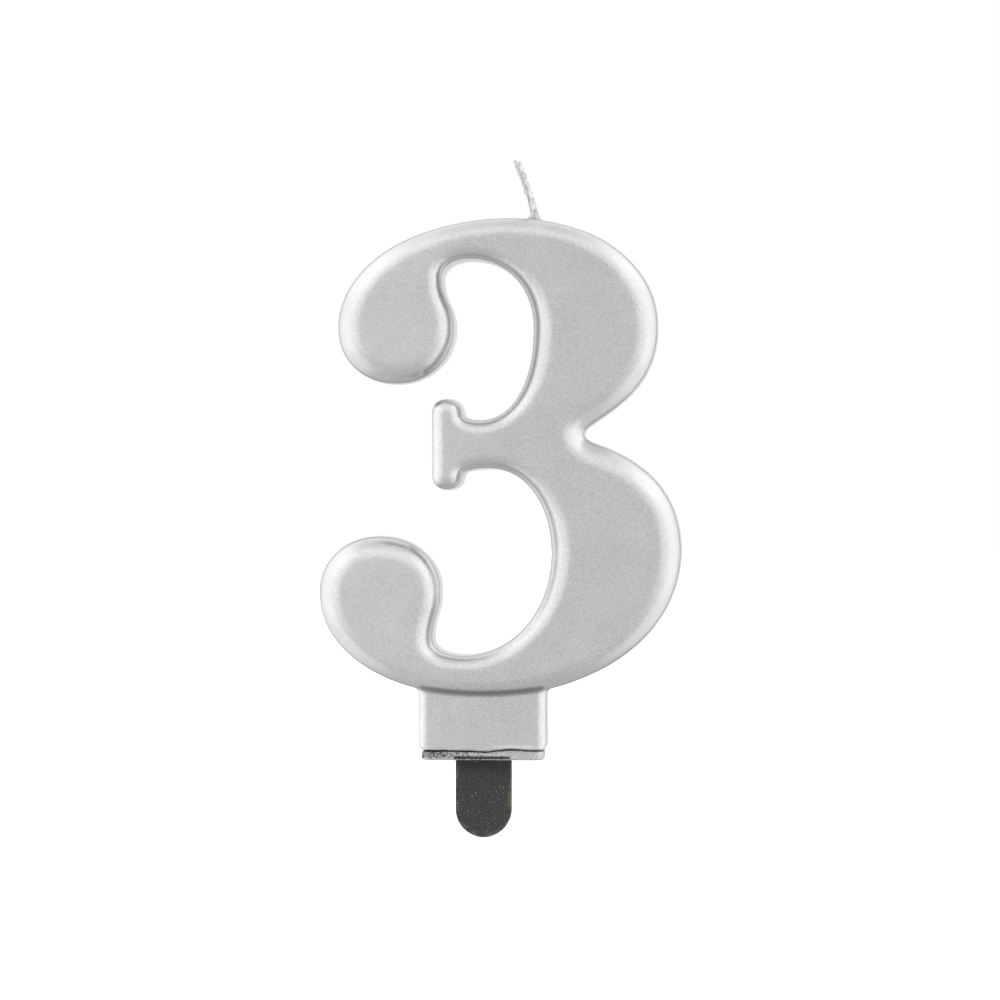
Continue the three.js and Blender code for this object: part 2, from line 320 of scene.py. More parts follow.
top = wax_high.z
right = wax_high.x
left = wax_low.x
foot = wax_low.z + BLOCK_HEIGHT
foot_edge = foot - FOOT_OVERLAP
waist = foot + LOWER_HEIGHT
waist_x = 13.8
arm_top = waist + ARM_RISE
arm_underside = arm_top - ARM_THICKNESS
upper_middle = top - UPPER_MIDDLE
upper_right = right - UPPER_INSET
lower_middle = foot + LOWER_MIDDLE
lower_ball_middle = foot + LOWER_BALL_MIDDLE
print("foot, waist and top, mm:", round(foot, 2), round(waist, 2), round(top, 2))

# %% Rim widths
BROAD_RIM = 4.2
OUTER_RIM = 3.8
INNER_RIM = 3.6
BALL_RIM = 3.1
THIN_OUTER_RIM = 2.9
THIN_INNER_RIM = 2.5
NECK_RIM = 2.35
SERIF_RIM = 2.2


def from_waist(distance, slope):
    """A place at a distance from the waist's corner, in a direction given in degrees."""
    angle = math.radians(slope)
    return (waist_x + distance * math.cos(angle), waist + distance * math.sin(angle))


# %% The outer side, clockwise from the highest point to the top of the lower ball
UPPER_SLOPE = 34
LOWER_SLOPE = -19.6
NOTCH_REACH = 2.8
LOWER_BOWL_FULLNESS = 0.585

corner = Vector((waist_x, waist))
notch_start = Vector(from_waist(NOTCH_REACH, UPPER_SLOPE))
notch_end = Vector(from_waist(NOTCH_REACH, LOWER_SLOPE))
pen = Pen(CREST_X, top, THIN_OUTER_RIM)
pen.level_quarter(upper_right, upper_middle, OUTER_RIM, 0.58)
pen.bend(
    (upper_right, upper_middle - 0.5 * (upper_middle - waist)),
    from_waist(0.64 * (upper_right - waist_x), UPPER_SLOPE),
    *from_waist(NOTCH_REACH, UPPER_SLOPE),
    OUTER_RIM,
)
pen.bend(
    tuple(notch_start.lerp(corner, 2 / 3)),
    tuple(notch_end.lerp(corner, 2 / 3)),
    *notch_end,
    OUTER_RIM,
)
pen.bend(
    from_waist(LOWER_BOWL_FULLNESS * (right - waist_x), LOWER_SLOPE),
    (right, lower_middle + LOWER_BOWL_FULLNESS * (waist - lower_middle)),
    right,
    lower_middle,
    OUTER_RIM,
)
pen.upright_quarter(0, foot_edge, THIN_OUTER_RIM, 0.575)
pen.level_quarter(left, lower_ball_middle, BROAD_RIM, 0.585)
pen.upright_quarter(left + 9, foot + 23.4, OUTER_RIM)

# %% The lower counter, from the top of the lower ball round to the arm
pen.level_quarter(left + LOWER_BALL_WIDTH, lower_ball_middle, BALL_RIM)
pen.neck(-7.25, foot + 8.1, BALL_RIM)
pen.upright_quarter(-2.7, foot + 5.85, THIN_INNER_RIM)
pen.level_quarter(right - LOWER_STROKE, lower_middle, INNER_RIM)
pen.upright_quarter(1.2, arm_underside - 0.3, THIN_INNER_RIM)

# %% The slab serif at the arm's end
SERIF_WIDTH = 4.6
SERIF_HEIGHT = 13.5
SERIF_DROP = 1.2
SERIF_FULLNESS = 0.64

serif_left = -7.45
serif_right = serif_left + SERIF_WIDTH
serif_low = waist - SERIF_DROP - SERIF_HEIGHT / 2
serif_high = serif_low + SERIF_HEIGHT
serif_end = SERIF_WIDTH / 2
pen.level_quarter(serif_right, serif_low + serif_end, SERIF_RIM)
pen.upright_quarter(serif_left + serif_end, serif_low, SERIF_RIM, SERIF_FULLNESS)
pen.level_quarter(serif_left, serif_low + serif_end, SERIF_RIM, SERIF_FULLNESS)
pen.line(serif_left, serif_high - serif_end, SERIF_RIM)
pen.upright_quarter(serif_left + serif_end, serif_high, SERIF_RIM, SERIF_FULLNESS)
pen.level_quarter(serif_right, serif_high - serif_end, SERIF_RIM, SERIF_FULLNESS)
pen.upright_quarter(-0.4, arm_top + 0.35, THIN_INNER_RIM)

# %% The upper counter and the upper ball
upper_ball_left = -21.5
upper_ball_right = upper_ball_left + UPPER_BALL_WIDTH
pen.level_quarter(upper_right - UPPER_STROKE, upper_middle, INNER_RIM, 0.60)
pen.upright_quarter(-2.0, top - 6.2, NECK_RIM, 0.585)
pen.level_quarter(-5.9, top - 8.8, NECK_RIM + 0.15)
pen.neck(upper_ball_right, upper_middle, BALL_RIM)
pen.upright_quarter(upper_ball_left + UPPER_BALL_WIDTH / 2, upper_middle - 8.3, OUTER_RIM)
pen.level_quarter(upper_ball_left, upper_middle, BROAD_RIM)
pen.upright_quarter(CREST_X, top, THIN_OUTER_RIM)
digit_knots = pen.close()
print("knots in the outline:", len(digit_knots))


# %% [markdown]
# ## From outline to slab
#
# The candle is cast in a mould of two halves that meet in its middle plane, and to come out of them its
# sides lean in by some degrees towards both faces. So the knots become a ring of edges in the middle
# plane. The ring is filled, and one inset both draws the face in and pulls it forward, which makes the
# leaning side. A Bevel modifier rounds the rim, taking each edge's share of the full width from the
# edge's bevel weight, and a Mirror modifier makes the back half.

# %% Small helpers for working on one object
def only(piece):
    bpy.ops.object.select_all(action="DESELECT")
    piece.select_set(True)
    bpy.context.view_layer.objects.active = piece


def apply(piece, kind, **settings):
    """Adds a modifier to a piece, sets it and applies it."""
    only(piece)
    modifier = piece.modifiers.new(kind.lower(), kind)
    for name, value in settings.items():
        setattr(modifier, name, value)
    bpy.ops.object.modifier_apply(modifier=modifier.name)


def corners(piece):
    """The places of all the points of a piece, as rows of x, y and z in metres."""
    places = np.zeros(len(piece.data.vertices) * 3)
    piece.data.vertices.foreach_get("co", places)
    return places.reshape(-1, 3)


def tidy_normals(piece):
    only(piece)
    bpy.ops.object.mode_set(mode="EDIT")
    bpy.ops.mesh.select_all(action="SELECT")
    bpy.ops.mesh.normals_make_consistent(inside=False)
    bpy.ops.object.mode_set(mode="OBJECT")


def show_size(piece):
    size = [round(side / MM, 2) for side in piece.dimensions]
    triangles = sum(len(face.vertices) - 2 for face in piece.data.polygons)
    print(piece.name, "mm:", size, "triangles:", triangles)


# %% Drawing the curve and turning it into a ring of edges
KNOT_STEPS = 36


def ring_from(knots, name, y):
    """A closed ring of edges through the knots, in the plane at this y."""
    curve = bpy.data.curves.new(name, "CURVE")
    curve.dimensions = "3D"
    curve.resolution_u = KNOT_STEPS
    spline = curve.splines.new("BEZIER")
    spline.bezier_points.add(len(knots) - 1)
    spline.use_cyclic_u = True
    for point, knot in zip(spline.bezier_points, knots):
        point.handle_left_type = "FREE"
        point.handle_right_type = "FREE"
        point.co = Vector((knot["at"][0], y, knot["at"][1])) * MM
        point.handle_left = Vector((knot["arrive"][0], y, knot["arrive"][1])) * MM
        point.handle_right = Vector((knot["leave"][0], y, knot["leave"][1])) * MM
    ring = bpy.data.objects.new(name, curve)
    bpy.context.collection.objects.link(ring)
    only(ring)
    bpy.ops.object.convert(target="MESH")
    return bpy.context.object


digit = ring_from(digit_knots, "digit", 0)
print("points round the digit:", len(digit.data.vertices))


# %% Rim width at every point of the ring
def rim_along(knots):
    """The rim's width at each point of the ring, going softly from knot to knot."""
    widths = []
    for index, knot in enumerate(knots):
        following = knots[(index + 1) % len(knots)]
        for step in range(KNOT_STEPS):
            share = step / KNOT_STEPS
            share = share * share * (3 - 2 * share)
            widths.append(knot["rim"] + (following["rim"] - knot["rim"]) * share)
    return widths


def key(place):
    """A point's x and z, rounded so that the same point is found again."""
    return (round(place.x, 7), round(place.z, 7))


rim_at = {}
for vertex, width in zip(digit.data.vertices, rim_along(digit_knots)):
    rim_at[key(vertex.co)] = width

# %% Filling the ring, drawing the face in and pulling it forward
HALF_DEPTH = wax_high.y
DRAFT = math.radians(2.2)
drawn_in = HALF_DEPTH * math.tan(DRAFT)

only(digit)
bpy.ops.object.mode_set(mode="EDIT")
bpy.ops.mesh.select_all(action="SELECT")
bpy.ops.mesh.edge_face_add()
bpy.ops.object.mode_set(mode="OBJECT")
faces_back = digit.data.polygons[0].normal.y > 0
bpy.ops.object.mode_set(mode="EDIT")
if faces_back:
    bpy.ops.mesh.flip_normals()
bpy.ops.mesh.inset(thickness=drawn_in * MM, depth=HALF_DEPTH * MM, use_even_offset=True)
bpy.ops.object.mode_set(mode="OBJECT")
show_size(digit)

# %% Rounding the rim
rim_in_front = {}
for edge in digit.data.edges:
    first, second = (digit.data.vertices[index].co for index in edge.vertices)
    if abs(first.y - second.y) > MM:
        in_front, on_ring = (first, second) if first.y < second.y else (second, first)
        rim_in_front[key(in_front)] = rim_at[key(on_ring)]
weights = digit.data.attributes.new("bevel_weight_edge", "FLOAT", "EDGE")
for edge in digit.data.edges:
    ends = [digit.data.vertices[index].co for index in edge.vertices]
    if max(end.y for end in ends) < -MM:
        width = sum(rim_in_front[key(end)] for end in ends) / 2
        weights.data[edge.index].value = (width - drawn_in) / (BROAD_RIM - drawn_in)
apply(
    digit,
    "BEVEL",
    limit_method="WEIGHT",
    offset_type="OFFSET",
    width=(BROAD_RIM - drawn_in) * MM,
    segments=10,
    profile=0.5,
    use_clamp_overlap=False,
)
apply(digit, "MIRROR", use_axis=(False, True, False), merge_threshold=0.01 * MM)
tidy_normals(digit)
show_size(digit)

# %% [markdown]
# ## The block and the collar of the wick
#
# The block is poured with the digit, so it is a plain square foot with rounded upright corners that runs
# up into the digit's underside. Its lower corners draw in a little. The wax climbs a short way up the
# wick and sets there as a small collar. Both start as primitives and are shaped in edit mode.

# %% The block
BLOCK_WIDTH = 18.9
BLOCK_DEPTH = 8.8
BLOCK_TOE = 0.4
BLOCK_TOE_HEIGHT = 0.7
TOE_DEPTH_SHARE = 0.975
BLOCK_BURIAL = 2.9
BLOCK_EDGE = 1.6


def select_points(piece, wanted):
    """Selects the points of a piece for which the test holds, with the places in millimetres."""
    only(piece)
    bpy.ops.object.mode_set(mode="EDIT")
    bpy.ops.mesh.select_mode(type="VERT")
    bpy.ops.mesh.select_all(action="DESELECT")
    bpy.ops.object.mode_set(mode="OBJECT")
    for vertex in piece.data.vertices:
        vertex.select = bool(wanted(vertex.co / MM))
    bpy.ops.object.mode_set(mode="EDIT")


def select_edges(piece, wanted):
    """Selects the edges for which the test holds, given their two ends in millimetres."""
    only(piece)
    bpy.ops.object.mode_set(mode="EDIT")
    bpy.ops.mesh.select_mode(type="EDGE")
    bpy.ops.mesh.select_all(action="DESELECT")
    bpy.ops.object.mode_set(mode="OBJECT")
    for edge in piece.data.edges:
        first, second = (piece.data.vertices[index].co / MM for index in edge.vertices)
        edge.select = bool(wanted(first, second))
    bpy.ops.object.mode_set(mode="EDIT")


def box_at(name, low, high):
    """A box between two corners given in millimetres, with its place in its mesh."""
    bpy.ops.object.select_all(action="DESELECT")
    bpy.ops.mesh.primitive_cube_add(size=1)
    made = bpy.context.object
    made.name = name
    low, high = Vector(low) * MM, Vector(high) * MM
    made.scale = high - low
    made.location = (low + high) / 2
    bpy.ops.object.transform_apply(location=True, rotation=True, scale=True)
    return made


half_width = BLOCK_WIDTH / 2
half_depth = BLOCK_DEPTH / 2
block_low = wax_low.z
block_high = foot + BLOCK_BURIAL
block = box_at("block", (-half_width, -half_depth, block_low), (half_width, half_depth, block_high))
select_edges(block, lambda first, second: abs(first.z - second.z) > 1)
bpy.ops.mesh.bevel(offset=BLOCK_EDGE * MM, segments=7, profile=0.5, affect="EDGES")
bpy.ops.mesh.select_all(action="SELECT")
cut_height = block_low + BLOCK_TOE_HEIGHT
bpy.ops.mesh.bisect(plane_co=(0, 0, cut_height * MM), plane_no=(0, 0, 1))
bpy.ops.object.mode_set(mode="OBJECT")
select_points(block, lambda place: place.z < block_low + 0.01)
toe_share = 1 - 2 * BLOCK_TOE / BLOCK_WIDTH
toe_shape = (toe_share, TOE_DEPTH_SHARE, 1)
bpy.ops.transform.resize(value=toe_shape, center_override=(0, 0, block_low * MM))
bpy.ops.object.mode_set(mode="OBJECT")
show_size(block)

# %% The collar
WICK_X = 7.5
COLLAR_FOOT = 1.1
COLLAR_TIP = 0.55
COLLAR_HEIGHT = 2.4
COLLAR_LEAN = 0.15

past_crest = (WICK_X - CREST_X) / (upper_right - CREST_X)
wick_root = upper_middle + UPPER_MIDDLE * math.sqrt(1 - past_crest**2)
bpy.ops.object.select_all(action="DESELECT")
bpy.ops.mesh.primitive_cone_add(
    vertices=24,
    radius1=COLLAR_FOOT * MM,
    radius2=COLLAR_TIP * MM,
    depth=COLLAR_HEIGHT * MM,
    location=((WICK_X - 0.1) * MM, 0, (wick_root + 0.2) * MM),
)
collar = bpy.context.object
collar.name = "collar"
bpy.ops.object.transform_apply(location=True)
select_points(collar, lambda place: place.z > wick_root)
bpy.ops.transform.translate(value=(COLLAR_LEAN * MM, 0, 0))
bpy.ops.object.mode_set(mode="OBJECT")
show_size(collar)

# %% [markdown]
# ## One casting
#
# Digit, block and collar are one pour of wax. A boolean union would leave knife-sharp creases, and wax
# under a coat of lacquer has none. A voxel remesh melts the overlapping shells into one skin and fills
# the creases by about its grid size, and a light smoothing takes the grid's steps away. A faint slow
# waviness is added last, because the real faces are only nearly flat.

# %% Melting the parts together
WAX_VOXEL = 0.33

only(digit)
block.select_set(True)
collar.select_set(True)
bpy.ops.object.join()
wax = bpy.context.object
wax.name = "silver_wax_numeral"
wax.data.name = "silver_wax_numeral"
apply(wax, "REMESH", mode="VOXEL", voxel_size=WAX_VOXEL * MM, adaptivity=0)
apply(wax, "SMOOTH", factor=0.5, iterations=4)
show_size(wax)

# %% Slow waviness
RIPPLE = 0.16
RIPPLE_LENGTH = 9

ripple = bpy.data.textures.new("wax_ripple", "CLOUDS")
ripple.noise_scale = RIPPLE_LENGTH * MM
ripple.noise_depth = 1
apply(wax, "DISPLACE", texture=ripple, texture_coords="LOCAL", strength=RIPPLE * MM, mid_level=0.3)


# %% A ragged lower edge on the block
def drift(x, y, z, scale):
    """Soft noise between about -1 and 1, the same at every run."""
    return noise.noise(Vector((x, y, z)) * scale)


def seam(x, y):
    """How far the line between wax and plate wanders up or down at a place, in millimetres."""
    hump = 0.26 * math.exp(-(((x - 4.6) / 2.6) ** 2))
    dip = 0.16 * math.exp(-(((x - 0.4) / 1.9) ** 2))
    return 0.06 + hump - dip + 0.07 * drift(x, y, 7.0, 1.1)


for vertex in wax.data.vertices:
    x, y, z = vertex.co / MM
    low = max(0.0, 1 - (z - block_low) / 0.9)
    if low > 0:
        vertex.co.z += (seam(x, y) + 0.04 * drift(x, y, 3.0, 2.4)) * low * MM
        lip = max(0.0, 1 - abs(z - block_low - 0.2) / 0.45)
        outwards = 0.17 + 0.12 * drift(x, y, 11.0, 0.9) + 0.16 * min(1.0, max(-0.5, x / 3))
        vertex.co.y += math.copysign(outwards * lip, y) * MM
only(wax)
bpy.ops.object.shade_smooth()
show_size(wax)


# %% Marking the painted shade in the crease over the block
CREASE_CURVE = 0.7
CREASE_LIFT = 0.62
CREASE_WIDTH = 0.55
CREASE_OVERRUN = 0.4


def crease_height(x):
    """Height of the line in which the block's face runs into the digit."""
    reach = left if x < 0 else right
    rise = LOWER_BALL_MIDDLE if x < 0 else LOWER_MIDDLE
    return foot_edge + CREASE_LIFT + CREASE_CURVE * rise * (1 - math.sqrt(1 - (x / reach) ** 2))


# Painted shade: a mask that greys the lacquer along the line where the block runs into the digit.
crease_shade = wax.data.attributes.new("crease_shade", "FLOAT", "POINT")
crease_end = half_width + CREASE_OVERRUN
marked = 0
for vertex in wax.data.vertices:
    x, y, z = vertex.co / MM
    if abs(x) < crease_end and z < foot + 4:
        away = (z - crease_height(x)) / CREASE_WIDTH
        edge_fade = min(1.0, max(0.0, (crease_end - abs(x)) / 1.2))
        crease_shade.data[vertex.index].value = math.exp(-away * away) * edge_fade
        marked += crease_shade.data[vertex.index].value > 0.5
print("points in the crease:", marked)

# %% Marking the collar, where the wick meets the wax, with painted shade too
COLLAR_SHADE = 0.5
COLLAR_REACH = 1.6

for vertex in wax.data.vertices:
    x, y, z = vertex.co / MM
    if abs(x - WICK_X) < COLLAR_REACH and z > wick_root - 0.3:
        climbed = min(1.0, max(0.0, (z - wick_root) / 0.3 + 0.4))
        crease_shade.data[vertex.index].value = COLLAR_SHADE * climbed

# %% [markdown]
# ## Silver lacquer
#
# The wax is sprayed with a metallic lacquer: a mist of tiny flakes, each tilted its own way, so the faces
# sparkle finely and the highlights on the rims are broad and soft. A metal with middling roughness gives
# the highlights. The flakes come from small random cells and fine noise, which nudge the brightness, the
# roughness and the surface's tilt, and a slower cloud makes the coat a little uneven. Painted light makes
# the faces a little lighter towards the left, and painted shade makes the far left rims a little darker.
# The crease over the block and the wick's root get painted shade: a darker grey, and a rougher coat.

# %% Silver lacquer
def finish_named(name):
    material = bpy.data.materials.new(name)
    material.use_nodes = True
    return material, Mix(material.node_tree), material.node_tree.nodes["Principled BSDF"]


def place_in_mm(mix):
    """The place on the piece, in millimetres."""
    here = mix.node("ShaderNodeTexCoord", output=3)
    return mix.node("ShaderNodeVectorMath", {"operation": "SCALE"}, {0: here, "Scale": 1 / MM})


def feed(mix, shader, name, wire):
    mix.tree.links.new(wire.socket, shader.inputs[name])


DARK_SILVER = (0.48, 0.48, 0.49, 1)
LIGHT_SILVER = (0.74, 0.74, 0.74, 1)
CREASE_SHADE_GREY = (0.20, 0.20, 0.205, 1)

lacquer, mix, shader = finish_named("silver_lacquer")
in_mm = place_in_mm(mix)
across = mix.along(in_mm, 0)
forward = mix.along(in_mm, 1)
upwards = mix.along(in_mm, 2)
flake_cells = mix.node("ShaderNodeTexVoronoi", None, {"Vector": in_mm, "Scale": 6.5}, 1)
flake = mix.node("ShaderNodeSeparateColor", None, {0: flake_cells}, 0)
fine = mix.clouds(in_mm, 4.0, 3.0, 0.65)
cloud = mix.clouds(in_mm, 0.22, 3.0)
on_block = mix.ease(upwards, foot + 1.5, foot - 0.5)
on_digit = mix.ease(abs(forward), 4.8, 5.8, 0.35, 1.0)
on_face = on_digit.math("MAXIMUM", on_digit, on_block)
shine = 0.5 + ((flake - 0.5) * 0.50 + (fine - 0.5) * 0.75) * on_face + (cloud - 0.5) * 0.35
# Painted light: the faces lighter towards the left. Painted shade: the far left rims darker.
painted_light_left = mix.ease(across, 4.0, -14.0, 0.0, 0.17) * on_face
painted_shade_left_rims = mix.ease(across, -8.0, -18.0, 0.0, 0.12) * (1 - on_face)
shine = shine + painted_light_left - painted_shade_left_rims
silver = mix.blend(mix.ease(shine, -0.2, 1.2), DARK_SILVER, LIGHT_SILVER)
# Painted shade: the crease over the block and the wick's root turn a darker, rougher grey.
crease_shade_mark = mix.node("ShaderNodeAttribute", {"attribute_name": "crease_shade"}, None, 2)
grit = mix.clouds(in_mm, 2.6, 4.0, 0.7)
in_crease_shade = mix.ease(crease_shade_mark + (grit - 0.5) * 0.9, 0.10, 0.95)
silver = mix.blend(in_crease_shade * 0.8, silver, CREASE_SHADE_GREY)
roughness = 0.31 + (fine - 0.5) * on_face * 0.14 + (cloud - 0.5) * 0.06 + in_crease_shade * 0.2
relief = (fine * 0.7 + flake * 0.3) * on_face
feed(mix, shader, "Base Color", silver)
feed(mix, shader, "Roughness", roughness)
feed(mix, shader, "Normal", mix.bump(0.22, 0.02 * MM, relief))
shader.inputs["Metallic"].default_value = 0.93
wax.data.materials.clear()
wax.data.materials.append(lacquer)
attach(wax, "root")
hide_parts("wax_numeral")

# %% [markdown]
# ## The holder
#
# The holder is one black plastic moulding. Its flat spike is a box whose two bottom edges are bevelled
# until they meet in a half round. The stem and its T-shaped head, which the wax grips, are extruded up
# out of the spike's top, and the flange plate is a second box joined to it with a boolean.

# %% Spike, stem and head
SPIKE_WIDTH = 8.3
SPIKE_TOP = 0.6
BLADE = 1.8
STEM_WIDTH = 5
STEM_HEIGHT = 4.2
HEAD_WIDTH = 8
HEAD_HEIGHT = 2.4
PLATE_TOP = 1.2
PLATE_CORNER = 1.5
HOLDER_EDGE = 0.22


def across_the_end(first, second):
    """True for the two short edges at the spike's lower end, from its front to its back."""
    return max(first.z, second.z) < holder_low.z + 0.1 and abs(first.y - second.y) > 1


spike_low = (-SPIKE_WIDTH / 2, -BLADE / 2, holder_low.z)
spike_high = (SPIKE_WIDTH / 2, BLADE / 2, SPIKE_TOP)
spike = box_at("holder_moulding", spike_low, spike_high)
select_edges(spike, across_the_end)
bpy.ops.mesh.bevel(offset=(SPIKE_WIDTH / 2 - 0.01) * MM, segments=18, profile=0.5, affect="EDGES")
bpy.ops.object.mode_set(mode="OBJECT")
select_points(spike, lambda place: place.z > SPIKE_TOP - 0.1)
bpy.ops.mesh.extrude_region_move(TRANSFORM_OT_translate={"value": (0, 0, 0)})
bpy.ops.transform.resize(value=(STEM_WIDTH / SPIKE_WIDTH, 1, 1), center_override=(0, 0, 0))
bpy.ops.mesh.extrude_region_move(TRANSFORM_OT_translate={"value": (0, 0, STEM_HEIGHT * MM)})
bpy.ops.mesh.extrude_region_move(TRANSFORM_OT_translate={"value": (0, 0, 0)})
bpy.ops.transform.resize(value=(HEAD_WIDTH / STEM_WIDTH, 1, 1), center_override=(0, 0, 0))
bpy.ops.mesh.extrude_region_move(TRANSFORM_OT_translate={"value": (0, 0, HEAD_HEIGHT * MM)})
bpy.ops.object.mode_set(mode="OBJECT")
tidy_normals(spike)
show_size(spike)

# %% Plate
plate_low = (holder_low.x, holder_low.y, 0)
plate_high = (holder_high.x, holder_high.y, PLATE_TOP)
plate = box_at("plate", plate_low, plate_high)
select_edges(plate, lambda first, second: abs(first.z - second.z) > 1)
bpy.ops.mesh.bevel(offset=PLATE_CORNER * MM, segments=7, profile=0.5, affect="EDGES")
bpy.ops.object.mode_set(mode="OBJECT")
apply(spike, "BOOLEAN", operation="UNION", object=plate, solver="EXACT")
bpy.data.objects.remove(plate)
apply(
    spike,
    "BEVEL",
    limit_method="ANGLE",
    angle_limit=math.radians(40),
    width=HOLDER_EDGE * MM,
    segments=3,
)
show_size(spike)

# %% Melting the moulding's edges and roughening the plate
HOLDER_VOXEL = 0.11

apply(spike, "REMESH", mode="VOXEL", voxel_size=HOLDER_VOXEL * MM, adaptivity=0)
apply(spike, "SMOOTH", factor=0.5, iterations=3)
for vertex in spike.data.vertices:
    x, y, z = vertex.co / MM
    on_plate = -0.1 < z < PLATE_TOP + 0.1 and abs(y) > 1.2
    if on_plate:
        ragged = 0.12 * drift(x, y, z, 0.7) + 0.10 * drift(x, y, z, 2.6)
        vertex.co.y += math.copysign(ragged - 0.10, y) * MM
        share = max(0.0, z / PLATE_TOP)
        vertex.co.z += ((seam(x, y) + 0.14) * share + 0.10 * (1 - share)) * MM
only(spike)
bpy.ops.object.shade_smooth()
show_size(spike)

# %% [markdown]
# ## Black plastic
#
# The plastic is charcoal with a fine dusting and some paler specks, and the rim of the spike has a faint
# olive tint in places. Just under the plate the dusting thins, which is painted shade. The silver spray
# has caught the plate, more on its right half, and it is left off over the spike in the plate's lower part
# as a
# painted shadow. One finish does it all: masks made from the height, the place across and a patchy noise
# lay the spray over the plastic, and the same mask makes the spray metallic.

# %% Black plastic with overspray
PLASTIC = (0.006, 0.006, 0.006, 1)
DUST = (0.082, 0.083, 0.089, 1)
OLIVE = (0.085, 0.088, 0.062, 1)
SPECK = (0.17, 0.17, 0.165, 1)

plastic, mix, shader = finish_named("black_plastic")
in_mm = place_in_mm(mix)
across = mix.along(in_mm, 0)
height = mix.along(in_mm, 2)
round_part = height.math("MINIMUM", height - (holder_low.z + SPIKE_WIDTH / 2), 0.0)
reach = mix.node("ShaderNodeCombineXYZ", None, {0: across, 2: round_part})
reach = mix.node("ShaderNodeVectorMath", {"operation": "LENGTH"}, {0: reach}, 1)
grain = mix.clouds(in_mm, 4.4, 4.0, 0.8)
tint = mix.clouds(in_mm, 0.55, 3.0)
speck_cells = mix.node("ShaderNodeTexVoronoi", None, {"Vector": in_mm, "Scale": 1.7})
patchy = mix.clouds(in_mm, 3.0, 5.0, 0.8)
dust_and_shade = mix.ease(grain, 0.42, 0.68)
specks = mix.ease(speck_cells, 0.28, 0.10) * mix.ease(tint, 0.46, 0.58)
near_edge = mix.ease(reach + (grain - 0.5) * 1.2, 3.3, 4.1)
# Painted shade: less dust just under the plate, so the spike is darker there.
dust_and_shade = dust_and_shade * mix.ease(height, -0.4, -2.6, 0.45, 1.0)
charcoal = mix.blend(dust_and_shade, PLASTIC, DUST)
charcoal = mix.blend(near_edge * mix.ease(tint, 0.40, 0.62), charcoal, OLIVE)
charcoal = mix.blend(specks, charcoal, SPECK)

# %% Overspray on the plate
DARK_SPRAY = (0.40, 0.40, 0.40, 1)
LIGHT_SPRAY = (0.66, 0.66, 0.65, 1)

on_plate = mix.ease(height, -0.10, 0.10)
more_right = mix.ease(across, -8.0, 3.0, 0.0, 0.16)
over_spike = mix.ease(abs(across), 4.4, 4.0)
# Painted shadow: over the spike, the plate's lower part is left dark.
shaded = over_spike * mix.ease(height + (patchy - 0.5) * 0.4, 0.85, 0.60)
thin_edge = mix.ease(abs(height - 0.22), 0.12, 0.04) * mix.ease(patchy, 0.42, 0.52)
lower_edge = mix.ease(height, 0.50, 0.30, 0.0, 0.12) * (1 - over_spike)
sprayed = mix.ease(patchy + more_right + lower_edge, 0.47, 0.60) * (1 - shaded * (1 - thin_edge))
sprayed = on_plate * sprayed
silver = mix.blend(mix.ease(grain, 0.35, 0.65), DARK_SPRAY, LIGHT_SPRAY)
feed(mix, shader, "Base Color", mix.blend(sprayed, charcoal, silver))
feed(mix, shader, "Metallic", sprayed * 0.75)
feed(mix, shader, "Roughness", 0.46 + (grain - 0.5) * 0.3)
feed(mix, shader, "Normal", mix.bump(0.55, 0.06 * MM, grain + patchy * 0.4))
spike.data.materials.clear()
spike.data.materials.append(plastic)
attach(spike, "root")
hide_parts("holder")

# %% [markdown]
# ## The wick
#
# The wick is a short cord of three cotton strands twisted together, cast into the wax and sprayed with
# it. Each strand is a round curve that winds about the wick's route, and the three are melted into one
# closed skin so that they stay a cord. At the tip the strands draw together, thin out and curl over into
# a small hook.

# %% The wick's route
WICK_LEAN = math.radians(18.5)
WICK_RISE = 8.25
ROUTE_STEP = 0.12

bend_height = wick_root + 1.2
lower_stroke_x = right - 9.5
upper_stroke_x = upper_right - 9.275
tip_x = WICK_X - WICK_RISE * math.sin(WICK_LEAN)
tip_z = bend_height + WICK_RISE * math.cos(WICK_LEAN)
route_knots = [
    (lower_stroke_x, 0, wick_low.z),
    (lower_stroke_x, 0, lower_middle),
    (0.62 * waist_x, 0, waist - 1.2),
    (upper_stroke_x, 0, upper_middle),
    (WICK_X, 0, (top - 5.8 + wick_root) / 2),
    (WICK_X, 0, wick_root),
    (WICK_X, 0, bend_height),
    (tip_x, 0, tip_z),
]


def smooth_route(knots, spacing):
    """Evenly spaced points along a centripetal Catmull-Rom curve through the knots."""
    knots = [np.array(knot, float) for knot in knots]
    knots = [2 * knots[0] - knots[1]] + knots + [2 * knots[-1] - knots[-2]]
    dense = []
    for p0, p1, p2, p3 in zip(knots, knots[1:], knots[2:], knots[3:]):
        t1 = np.linalg.norm(p1 - p0) ** 0.5
        t2 = t1 + np.linalg.norm(p2 - p1) ** 0.5
        t3 = t2 + np.linalg.norm(p3 - p2) ** 0.5
        for t in np.linspace(t1, t2, 40, endpoint=False):
            a1 = p0 + (p1 - p0) * (t / t1)
            a2 = p1 + (p2 - p1) * ((t - t1) / (t2 - t1))
            a3 = p2 + (p3 - p2) * ((t - t2) / (t3 - t2))
            b1 = a1 + (a2 - a1) * (t / t2)
            b2 = a2 + (a3 - a2) * ((t - t1) / (t3 - t1))
            dense.append(b1 + (b2 - b1) * ((t - t1) / (t2 - t1)))
    dense.append(knots[-2])
    dense = np.array(dense)
    run = np.concatenate([[0], np.cumsum(np.linalg.norm(np.diff(dense, axis=0), axis=1))])
    places = np.linspace(0, run[-1], int(run[-1] / spacing))
    return np.stack([np.interp(places, run, dense[:, axis]) for axis in range(3)], 1)


route = smooth_route(route_knots, ROUTE_STEP)
print("wick length, mm:", round(ROUTE_STEP * len(route), 1))

# %% Three strands wound round the route
STRAND = 0.34
WIND = 0.27
PITCH = 8.5
CURL = 0.34
CURL_LENGTH = 1.1
TAPER_LENGTH = 0.8


